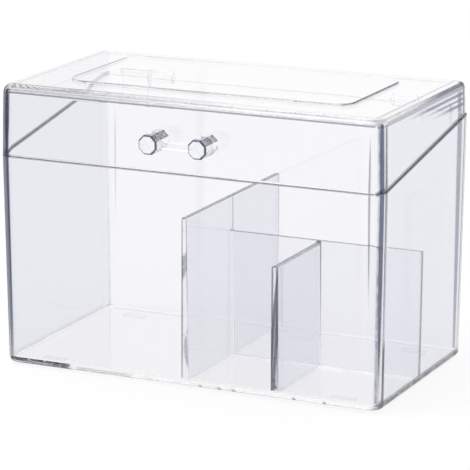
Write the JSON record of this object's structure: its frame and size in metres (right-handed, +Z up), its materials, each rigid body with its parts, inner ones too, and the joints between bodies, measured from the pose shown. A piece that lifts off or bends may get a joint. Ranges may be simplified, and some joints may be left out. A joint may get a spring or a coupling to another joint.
{
  "type": "cotton pad box with hinged lid",
  "caption": "Clear plastic cotton pad box with a sloping hinged lid, a small pull handle and three fixed dividers that make four compartments.",
  "frame": {"origin": "on the standing plane, under the middle of the tub in plan", "axes": "+X to the right seen from the front, +Y to the back where the hinge is, +Z up"},
  "size_m": [0.1804, 0.1151, 0.1266],
  "materials": {
    "clear_plastic": "clear, polished",
    "clear_pad": "clear, smooth"
  },
  "bodies": {
    "tub_body": {"tub": "clear_plastic", "main_divider": "clear_plastic", "cross_divider": "clear_plastic", "front_divider": "clear_plastic", "hinge_pin_left": "clear_plastic", "hinge_pin_right": "clear_plastic", "foot_pad_front_left": "clear_pad", "foot_pad_front_right": "clear_pad", "foot_pad_rear_left": "clear_pad", "foot_pad_rear_right": "clear_pad"},
    "lid_body": {"lid": "clear_plastic", "handle": "clear_plastic"}
  },
  "joints": [
    {"name": "lid_hinge", "type": "hinge", "parent": "tub_body", "child": "lid_body", "pos_m": [0, 0.0498, 0.1112], "axis": [-1, 0, 0], "range_deg": [0, 115]}
  ]
}
